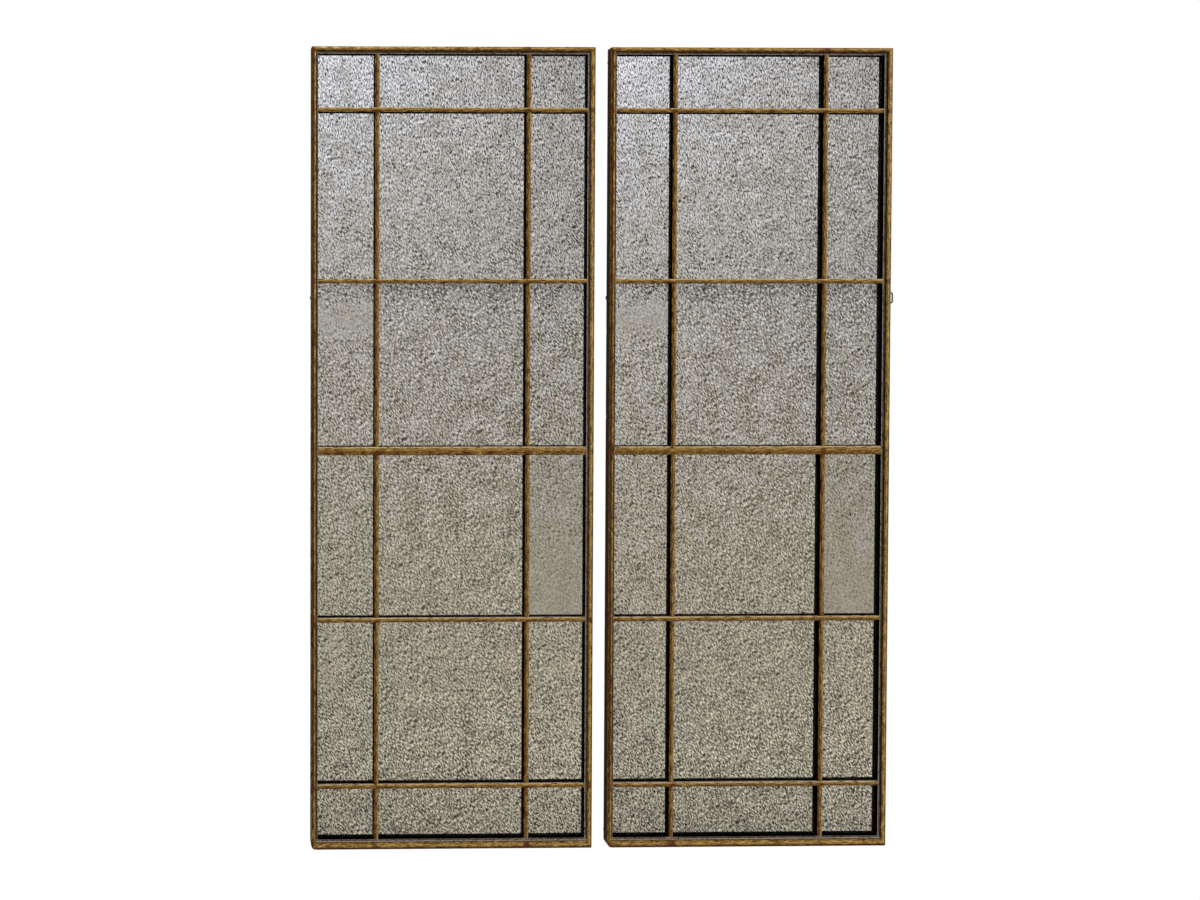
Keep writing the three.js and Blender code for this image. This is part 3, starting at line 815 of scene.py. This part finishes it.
def makeBar(node, width, start, end, changes, seed, crossings, upright, place):
    # changes are spans of the bar, each with a function that trims the section there
    depth = (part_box(node)[1].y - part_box(node)[0].y) / mm
    section = barSection(width, depth)
    breaks = [edge for span, _ in changes for edge in span if start < edge < end]
    along = barStations(start, end, breaks)[:, None] + 0 * section[:, 0]
    x, y = section[:, 0] + 0 * along, section[:, 1] + 0 * along
    lift = bars["unevenness"] * (0.5 + 0.5 * ripple(along, 4 * x, 30, seed))
    y = y + np.where(section[:, 1] < bars["ease"], lift, 0)
    spots = along[:, 0]
    order = np.concatenate([[False], np.diff(spots) == 0])  # the second of two stations at one place
    for (low, high), trim in changes:
        inside = (spots > low) & (spots < high) | (spots == low) & order | (spots == high) & ~order
        inside |= (spots == low) & (low <= start) | (spots == high) & (high >= end)
        trimmedX, trimmedY = trim(x, y)
        x, y = np.where(inside[:, None], trimmedX, x), np.where(inside[:, None], trimmedY, y)
    joint = sum(np.exp(-((along - spot) / 8) ** 2) for spot in crossings)
    # the front of a crossbar's top face, which is painted pale as if lit
    upper = 0 * x if upright else (x > width / 2 - 0.9) * (section[:, 1] < bars["lap"] + 0.1)
    share = x / width  # from -0.5 at the lower or left edge to 0.5 at the upper or right one
    # painted highlight on the upper or right half, bare ground with painted shade on the lower or left
    # half, a pale upper edge of wear and painted highlight, and painted shade on the low edge
    paintedHighlight = np.exp(-((share - 0.22) / 0.2) ** 2) * (0.4 if upright else 0.8)
    bareGroundAndShade = np.exp(-((share + 0.25) / 0.2) ** 2) * (0.6 if upright else 0.4)
    line = np.exp(-((width / 2 - x - 0.9) / 0.9) ** 2) * (0.3 if upright else 0.95)
    low = np.exp(-((width / 2 + x - 0.3) / 0.6) ** 2)
    values = {
        "moulding": stack(along * mm + 3 * (seed % 17), x * mm, section[:, 1] * mm + 0 * x),
        "wearAndPaintedLight": stack(upper, np.clip(joint, 0, 1), line),
        "lines": stack(paintedHighlight, bareGroundAndShade, low),
    }
    newPiece(node + "_gilt", node, place(x, y, along) * mm, tubeFaces(*x.shape), values,
             giltBars)


def makeBars(panel, seed):
    left, right, foot, head = panelFrame(panel)
    sight = moulding["bead"] + moulding["ledge"]
    footSight = moulding["footBead"] + moulding["ledge"]
    spans = [spanOf(f"{panel}_crossbar_{number}", "z") for number in range(1, 6)]
    mullions = [f"{panel}_mullion_{side}" for side in ("left", "right")]
    uprights = [(*spanOf(node, "x"), *spanOf(node, "z")) for node in mullions]
    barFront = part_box(f"{panel}_crossbar_1")[0].y / mm
    gap, lap = bars["lapGap"], bars["lap"]

    def rearOnly(x, y):
        return x, np.maximum(y, lap + gap)

    def frontOnly(x, y):
        return x, np.minimum(y, lap - gap)

    for index, (node, (low, high, bottom, top)) in enumerate(zip(mullions, uprights)):
        middle = (low + high) / 2
        changes = [((a - gap, b + gap), rearOnly) for a, b in spans]
        changes += [((bottom, foot + footSight + gap), frontOnly), ((head - sight - gap, top), frontOnly)]
        makeBar(node, high - low, bottom, top, changes, seed + index, [(a + b) / 2 for a, b in spans], True,
                lambda x, y, t, m=middle: stack(m + x, barFront + y, t))

    for number, (low, high) in enumerate(spans, 1):
        half = (high - low) / 2

        def tenon(x, y, half=half):
            reach = half - bars["tenonShoulder"]
            y = np.clip(y, bars["tenonSetback"], bars["tenonSetback"] + bars["tenonThickness"])
            return np.clip(x, -reach, reach), y

        start, end = left + sight - bars["tenonLength"], right - sight + bars["tenonLength"]
        changes = [((a - gap, b + gap), frontOnly) for a, b, _, _ in uprights]
        changes += [((start, left + sight + gap), tenon), ((right - sight - gap, end), tenon)]
        makeBar(f"{panel}_crossbar_{number}", high - low, start, end,
                changes, seed + 20 + number, [(a + b) / 2 for a, b, _, _ in uprights], False,
                lambda x, y, t, m=(low + high) / 2: stack(t, barFront + y, m + x))


# The antiqued panes, three in each row, in millimetres.
panes = {
    "joint": 1.0,  # between neighbours, behind the middle of a bar
    "edge": 0.6,  # ground edge of the glass
    "gridStep": 8.0,
    "waves": 0.05,  # height of the waves in the old glass
    "waveLength": 75.0,
    "calmPane": (4, 2),  # row and column of the pane with hardly any specks
    "calmTone": 0.955,
    "hazyPane": (3, 0),  # the one with a smooth haze across its upper part
    "haze": (85.0, 40.0),  # its middle, from the top of the pane, and its half height
    "denseRow": 3,  # dark specks crowd along its upper edge
    "denseReach": 35.0,
}


def makePane(panel, row, column, spans, outline, seed):
    (x0, x1), (yFront, yBack), (z0, z1) = spans
    left, right, foot, head = outline
    edge = panes["edge"]

    def ticks(low, high):
        count = max(4, int(round((high - low) / panes["gridStep"])))
        return np.concatenate([[low], np.linspace(low + edge, high - edge, count), [high]])

    x, z = np.meshgrid(ticks(x0, x1), ticks(z0, z1))
    rows, columns = x.shape
    onEdge = (x == x0) | (x == x1) | (z == z0) | (z == z1)
    wave = panes["waves"] * ripple(x, z, panes["waveLength"], seed)
    frontY = np.where(onEdge, yFront + edge, yFront + panes["waves"] + wave)
    front = stack(x, frontY, z).reshape(-1, 3)
    back = stack(x, np.full_like(x, yBack), z).reshape(-1, 3)
    cell = np.arange(rows * columns).reshape(rows, columns)
    quads = stack(cell[:-1, :-1], cell[:-1, 1:], cell[1:, 1:], cell[1:, :-1]).reshape(-1, 4)
    rim = np.concatenate([cell[0, :-1], cell[:-1, -1], cell[-1, :0:-1], cell[:0:-1, 0]])
    after = np.roll(rim, -1)
    count = rows * columns
    walls = stack(rim, rim + count, after + count, after)
    faces = quads.tolist() + (quads[:, ::-1] + count).tolist() + walls.tolist()
    points = np.concatenate([front, back]) * mm
    across = (points[:, 0] / mm - left) / (right - left)
    up = (points[:, 2] / mm - foot) / (head - foot)
    below = z1 * mm - points[:, 2]  # from the top of the pane
    # painted light and shade: brighter and cooler towards the top left, a little darker at the foot
    light = 0.63 + 0.37 * up ** 4 - 0.13 * np.exp(-(up / 0.08) ** 2)
    light = light * (1 + (0.45 * up + 0.4 * up ** 12 - 0.14) * (0.5 - across))
    calm, dense = np.zeros(len(points)), np.zeros(len(points))
    if (row, column) == panes["calmPane"]:
        light = light * panes["calmTone"]
        calm = 0.25 + 0.45 * np.clip(below / ((z1 - z0) * mm), 0, 1)
    if (row, column) == panes["hazyPane"]:
        middle, half = panes["haze"]
        calm = 0.6 * np.exp(-((below - middle * mm) / (half * mm)) ** 2)
    if row == panes["denseRow"]:
        dense = np.exp(-(below / (panes["denseReach"] * mm)) ** 2)
    values = {
        "place": stack(points[:, 0] + 3.7 * (seed % 11), points[:, 2] + 2.3 * (seed % 13), 0 * up),
        "height": stack(up, across, 0 * up),
        "paintedLightAndSpecks": stack(light, calm, dense),
    }
    newPiece(f"{panel}_pane_{row}_{column + 1}", f"{panel}_glass_row_{row}", points, faces, values,
             antiqueMirror)


def makePanes(panel, seed):
    outline = panelFrame(panel)
    middles = [middleOf(f"{panel}_mullion_{side}")[0] for side in ("left", "right")]
    half = panes["joint"] / 2
    for row in range(1, 7):
        node = f"{panel}_glass_row_{row}"
        low, high = spanOf(node, "x")
        starts = [low, *(middle + half for middle in middles)]
        stops = [*(middle - half for middle in middles), high]
        for column, across in enumerate(zip(starts, stops)):
            spans = (across, spanOf(node, "y"), spanOf(node, "z"))
            makePane(panel, row, column, spans, outline, seed + 3 * row + column)


for order, panel in enumerate(panels):
    makeFrame(panel, 100 + 50 * order)
    makeBars(panel, 300 + 50 * order)
    makePanes(panel, 500 + 50 * order)
    print(panel, "frame, bars and panes made")


# The hangers on the backs of the stiles, in millimetres: a strap folded round the ring's wire, the bent
# wire ring and the cross-head screw that the strap turns on.
hanger = {
    "strapBevel": 0.16,
    "eyeReach": 12.5,  # from the screw to the wire in the eye
    "eyeRadius": 3.0,
    "wire": 3.5,
    "wirePoints": 28,
    "ringReach": 11.65,
    "ringWidth": 26.0,
    "bend": 4.0,
    "butt": 0.6,
    "burr": 0.3,  # rounding of the wire's two ends
    "head": 7.0,
    "headUnder": 2.3,
    "headEdge": 0.5,
    "headRim": 0.15,  # chamfer under the head
    "headHeight": 2.0,
    "shank": 3.5,
    "core": 2.5,
    "screwLength": 18.0,
    "tip": 4.0,
    "pitch": 1.4,
    "plainShank": 4.0,
    "screwPoints": 64,
    "recessReach": 1.9,
    "recessHalf": 0.42,
    "recessDepth": 1.15,
}


def strapCopy(node, name):
    # the strap keeps its solid's shape; its doubles are merged and its edges rounded
    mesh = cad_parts[node].data.copy()
    faceOut(mesh, True)
    piece = dress(name, node, mesh, blackSteel, 40, node)
    bevel = piece.modifiers.new("edges", "BEVEL")
    bevel.width = hanger["strapBevel"] * mm
    bevel.segments = 2
    bevel.limit_method = "ANGLE"
    bevel.angle_limit = np.radians(40)
    bevel.harden_normals = True


def wirePath():
    # middle line of the ring's wire: straight runs joined by parabolas that touch both of their runs
    side, reach, bend = (hanger["ringWidth"] - hanger["wire"]) / 2, hanger["ringReach"], hanger["bend"]
    share = np.linspace(0, 1, 13)[:, None]

    def run(first, last, count):
        return np.array(first) + (np.array(last) - np.array(first)) * np.linspace(0, 1, count)[:, None]

    def corner(first, middle, last):
        first, middle, last = np.array(first), np.array(middle), np.array(last)
        return (1 - share) ** 2 * first + 2 * share * (1 - share) * middle + share ** 2 * last

    upper = np.concatenate([
        run((0, hanger["butt"] / 2), (0, side - bend), 6),
        corner((0, side - bend), (0, side), (bend, side))[1:],
        run((bend, side), (reach - bend, side), 4)[1:],
        corner((reach - bend, side), (reach, side), (reach, side - bend))[1:],
        run((reach, side - bend), (reach, 0), 6)[1:],
    ])
    return np.concatenate([upper, (upper * (1, -1))[-2::-1]])


def makeRing(node, eye, turn):
    # a round wire along the path: each circle stands square to the path
    path = wirePath()
    ends = np.linalg.norm(np.diff(path, axis=0), axis=1)
    length = np.concatenate([[0], np.cumsum(ends)])
    fromEnd = np.minimum(length, length[-1] - length)
    burr = hanger["burr"]
    cut = [0, burr * 0.3, burr]
    stations = np.unique(np.concatenate([cut, length[fromEnd > burr], length[-1] - np.array(cut)]))
    line = np.stack([np.interp(stations, length, path[:, part]) for part in (0, 1)], 1)
    slope = np.gradient(line, stations, axis=0)
    slope /= np.linalg.norm(slope, axis=1)[:, None]
    inset = np.clip(burr - np.minimum(stations, length[-1] - stations), 0, burr)
    radius = hanger["wire"] / 2 - (burr - np.sqrt(burr ** 2 - inset ** 2))
    angle = circle(hanger["wirePoints"])
    out, up = radius[:, None] * np.cos(angle), radius[:, None] * np.sin(angle)
    x = line[:, :1] - slope[:, 1:] * out
    z = line[:, 1:] + slope[:, :1] * out
    points = stack(eye[0] + turn * x, eye[1] + up, eye[2] + turn * z) * mm
    newPiece(node + "_wire", node, points, tubeFaces(len(stations), hanger["wirePoints"]), {},
             blackSteel, 50, node)


def makeScrew(node, x0, y0, z0):
    # turned about its axis: a pointed shank with a thread, whose ridge climbs one pitch each turn, under a
    # domed head with a cross sunk into it
    shank, core, head = hanger["shank"] / 2, hanger["core"] / 2, hanger["head"] / 2
    under, tip, length = hanger["headUnder"], hanger["tip"], hanger["screwLength"]
    angle = circle(hanger["screwPoints"])[None, :]
    y = np.linspace(-length, under, 150)[:, None]
    taper = np.clip((y + length) / tip, 0.03, 1)
    climb = (y / hanger["pitch"] - angle / (2 * np.pi)) % 1
    ridge = np.clip(1 - np.abs(climb - 0.5) / 0.32, 0, 1) * np.clip((-hanger["plainShank"] - y) / 1.5, 0, 1)
    plain = core + (shank - core) * np.clip((y + hanger["plainShank"]) / 0.6, 0, 1)
    shaft = taper * (plain + (shank - core) * ridge)
    edge, rim = under + hanger["headEdge"], hanger["headRim"]
    rise = np.linspace(0, np.pi / 2, 30)[1:-1]
    dome = hanger["headHeight"] - hanger["headEdge"]
    outline = np.concatenate([[(head - rim, under), (head, under + rim), (head, edge)],
                              stack(head * np.cos(rise), edge + dome * np.sin(rise)),
                              [(0.05, under + hanger["headHeight"])]])
    radius, level = outline[:, :1] + 0 * angle, outline[:, 1:] + 0 * angle
    across, along = np.abs(radius * np.cos(angle)), np.abs(radius * np.sin(angle))
    narrow, far = np.minimum(across, along), np.maximum(across, along)
    sunk = np.clip((hanger["recessHalf"] - narrow) / 0.14 + 0.5, 0, 1)
    sunk = sunk * np.clip((hanger["recessReach"] - far) / 0.9, 0, 1)
    level = level - hanger["recessDepth"] * sunk * (level > edge)
    radius = np.concatenate([shaft, radius])
    level = np.concatenate([y + 0 * angle, level])
    points = stack(x0 + radius * np.cos(angle), y0 + level, z0 + radius * np.sin(angle)) * mm
    newPiece(node + "_turned", node, points, tubeFaces(*radius.shape), {},
             zincSteel, 35)


def makeHangers(panel):
    for side in ("left", "right"):
        plate, ring, screw = [f"{panel}_hanger_{part}_{side}" for part in ("plate", "ring", "screw")]
        x0, z0 = middleOf(screw)[::2]
        y0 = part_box(plate)[0].y / mm
        turn = 1 if middleOf(ring)[0] > x0 else -1  # the way its ring points
        strapCopy(plate, plate + "_strap")
        makeRing(ring, (x0 + turn * hanger["eyeReach"], y0 + hanger["eyeRadius"], z0), turn)
        makeScrew(screw, x0, y0, z0)


# Rubber bumpers and the thin steel points that hold the backing board, in millimetres.
backWork = {
    "bumperRadius": 4.5,
    "bumperHeight": 7.0,
    "bumperPoints": 48,
    "pointLength": 15.0,
    "pointWidth": 6.0,
    "pointThickness": 0.4,
    "pointInWood": 4.0,
    "pointLift": 0.9,  # its free end stands off the board
    "pointsUp": 10,  # along each stile
    "pointsAcross": 3,  # along each rail
    "upMargin": 90.0,  # from the ends of the stile
    "acrossMargin": 110.0,
    "pointTurn": 4.0,  # degrees, as they were driven in by hand
}


def makeBumper(node):
    # turned about its axis: a slightly waisted stud with a rounded rim and a dimple in its face
    x0, z0 = middleOf(node)[::2]
    y0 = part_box(node)[0].y / mm
    radius, height = backWork["bumperRadius"], backWork["bumperHeight"]
    share = np.linspace(0, 1, 12)[:, None]
    side = np.concatenate([radius - 0.25 * np.sin(np.pi * share), 0.15 + (height - 1.6) * share], 1)
    rim = arc((radius - 1.3, height - 1.3), 1.3, 4, 90, 9)
    face = np.array([(2.4, height - 0.03), (1.7, height - 0.1), (1.35, height - 0.35), (1.2, height - 0.9),
                     (1.15, height - 2.6), (0.9, height - 2.8), (0.05, height - 2.8)])
    profile = np.concatenate([[(0.05, 0), (radius - 0.15, 0)], side, rim, face])
    angle = circle(backWork["bumperPoints"])
    out = profile[:, :1]
    level = profile[:, 1:] + 0 * angle
    points = stack(x0 + out * np.cos(angle), y0 + level, z0 + out * np.sin(angle)) * mm
    newPiece(node + "_stud", node, points, tubeFaces(len(profile), len(angle)), {},
             bumperRubber, 40)


def makePoints(panel, seed):
    # flat tongues that taper to their free ends and rise off the board with the square of the way along
    left, right, foot, head = panelFrame(panel)
    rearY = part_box(f"{panel}_backing_board")[1].y / mm
    strip = moulding["bead"] + moulding["ledge"] - moulding["rebate"]
    footStrip = moulding["footBead"] + moulding["ledge"] - moulding["rebate"]
    along = np.linspace(0, 1, 7)
    length, inWood = backWork["pointLength"], backWork["pointInWood"]
    half = backWork["pointWidth"] / 2 * (1 - 0.75 * np.clip((along - 0.45) / 0.55, 0, 1) ** 1.3)
    lift = 0.05 + backWork["pointLift"] * np.clip((along - 0.35) / 0.65, 0, 1) ** 2
    draw = np.random.default_rng(seed)
    upMargin, acrossMargin = backWork["upMargin"], backWork["acrossMargin"]
    upright = np.linspace(foot + upMargin, head - upMargin, backWork["pointsUp"])
    level = np.linspace(left + acrossMargin, right - acrossMargin, backWork["pointsAcross"])
    places = [(left + strip, z, 0) for z in upright] + [(right - strip, z, 180) for z in upright]
    places += [(x, foot + footStrip, 90) for x in level] + [(x, head - strip, -90) for x in level]
    box = np.array([(-1, 0), (1, 0), (1, 1), (-1, 1)])  # corners of the section: across, thick
    for number, (x, z, turn) in enumerate(places, 1):
        turn = np.radians(turn + draw.normal(0, backWork["pointTurn"]))
        reach = length * along[:, None] - inWood
        across = half[:, None] * box[:, 0]
        height = rearY + lift[:, None] + backWork["pointThickness"] * box[:, 1]
        points = stack(x + reach * np.cos(turn) - across * np.sin(turn), height,
                       z + reach * np.sin(turn) + across * np.cos(turn))
        newPiece(f"{panel}_board_point_{number}", None, points * mm, tubeFaces(len(along), len(box)), {},
                 pointSteel, 30)


for order, panel in enumerate(panels):
    makeHangers(panel)
    for place in ("bottom_left", "bottom_right", "top_left", "top_right"):
        makeBumper(f"{panel}_bumper_{place}")
    makePoints(panel, 700 + 50 * order)
    print(panel, "hangers, bumpers and board points made")


# The backing boards keep their solids.
for panel in panels:
    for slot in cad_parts[f"{panel}_backing_board"].material_slots:
        slot.material = boardStain
print("backing boards finished")
